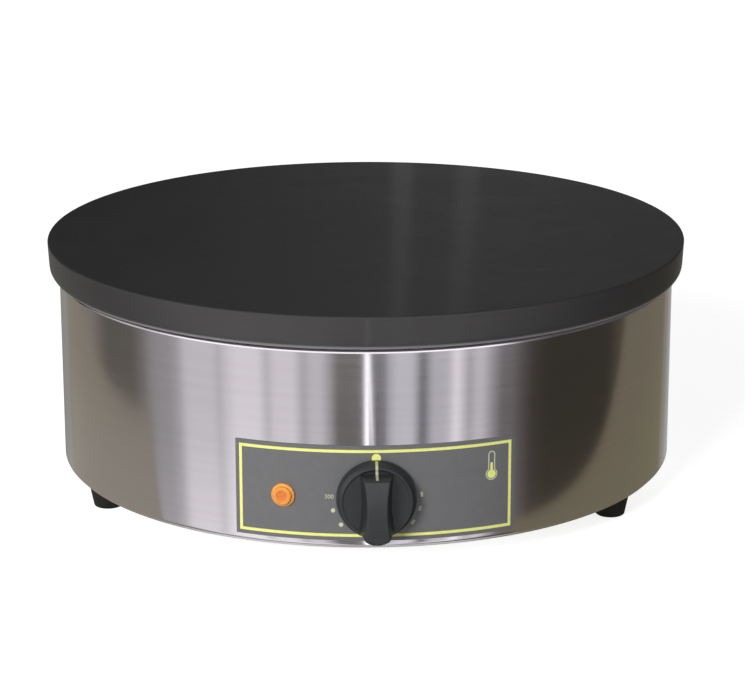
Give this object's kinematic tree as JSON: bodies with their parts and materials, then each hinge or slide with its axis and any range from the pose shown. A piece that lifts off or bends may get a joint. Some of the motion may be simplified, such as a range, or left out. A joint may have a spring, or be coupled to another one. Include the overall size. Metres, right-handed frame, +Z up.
{
  "type": "electric crepe maker",
  "caption": "Round electric crepe maker: cast griddle plate on a brushed steel drum with a thermostat knob, a pilot lamp, a wrapped control label and rubber feet.",
  "frame": {"origin": "middle of the drum on the counter that the feet stand on", "axes": "+Z up along the drum's axis to the griddle face; -Y towards the control label and knob, +Y towards the cable gland, +X to the right seen from the front"},
  "size_m": [0.3998, 0.4343, 0.1543],
  "materials": {
    "cast_plate": "seasoned cast iron, dark grey, fine satin",
    "stainless": "brushed stainless sheet, grain round the drum",
    "zinc_steel": "zinc-plated steel, dull silver",
    "plated_fixings": "bright zinc-plated fixings",
    "element_sheath": "heat-browned steel sheath",
    "fibre": "off-white ceramic fibre board",
    "ceramic": "unglazed white ceramic",
    "foot_rubber": "black rubber, matt",
    "label_film": "grey printed film with a yellow border",
    "knob_plastic": "black moulded plastic, satin",
    "pointer_paint": "pale yellow inlay",
    "lamp_lens": "translucent orange lens",
    "lamp_plastic": "off-white lamp barrel",
    "switch_plastic": "dark heat-proof moulding",
    "copper": "bare copper capillary",
    "brass": "bare brass",
    "gland_plastic": "black moulded nylon",
    "lead_brown": "brown silicone insulation",
    "lead_blue": "blue silicone insulation",
    "lead_green": "green silicone insulation"
  },
  "bodies": {
    "housing": {"griddle_plate": "cast_plate", "plate_studs": "plated_fixings", "plate_spacers": "ceramic", "plate_washers": "plated_fixings", "plate_nuts": "plated_fixings", "outer_heating_element": "element_sheath", "inner_heating_element": "element_sheath", "element_beads": "ceramic", "element_pins": "plated_fixings", "element_clamp": "zinc_steel", "clamp_stud": "plated_fixings", "clamp_washer": "plated_fixings", "clamp_nut": "plated_fixings", "insulation_disc": "fibre", "heat_shield": "zinc_steel", "drum": "stainless", "base_plate": "stainless", "foot_right": "foot_rubber", "foot_rear": "foot_rubber", "foot_left": "foot_rubber", "foot_washers": "plated_fixings", "foot_screws": "plated_fixings", "foot_nuts": "plated_fixings", "base_screws": "plated_fixings", "base_nuts": "plated_fixings", "control_label": "label_film", "pilot_lamp_lens": "lamp_lens", "pilot_lamp_body": "lamp_plastic", "pilot_lamp_clip": "plated_fixings", "thermostat_bracket": "zinc_steel", "thermostat_body": "switch_plastic", "thermostat_screws": "plated_fixings", "capillary_tube": "copper", "sensing_bulb": "copper", "bulb_saddle": "zinc_steel", "terminal_block": "switch_plastic", "terminal_inserts": "brass", "terminal_screws": "plated_fixings", "block_screws": "plated_fixings", "earth_stud": "plated_fixings", "earth_nut": "plated_fixings", "gland_body": "gland_plastic", "gland_seal": "foot_rubber", "gland_dome_nut": "gland_plastic", "gland_lock_nut": "gland_plastic", "element_links": "brass", "pin_nuts": "plated_fixings", "live_lead": "lead_brown", "switched_lead": "lead_brown", "neutral_lead": "lead_blue", "earth_lead": "lead_green", "lamp_leads": "lead_blue"},
    "thermostat_knob": {"thermostat_shaft": "plated_fixings", "knob": "knob_plastic", "knob_pointer": "pointer_paint"}
  },
  "joints": [
    {"name": "thermostat_turn", "type": "hinge", "parent": "housing", "child": "thermostat_knob", "pos_m": [0, -0.193, 0.0443], "axis": [0, 1, 0], "range_deg": [0, 270]}
  ]
}
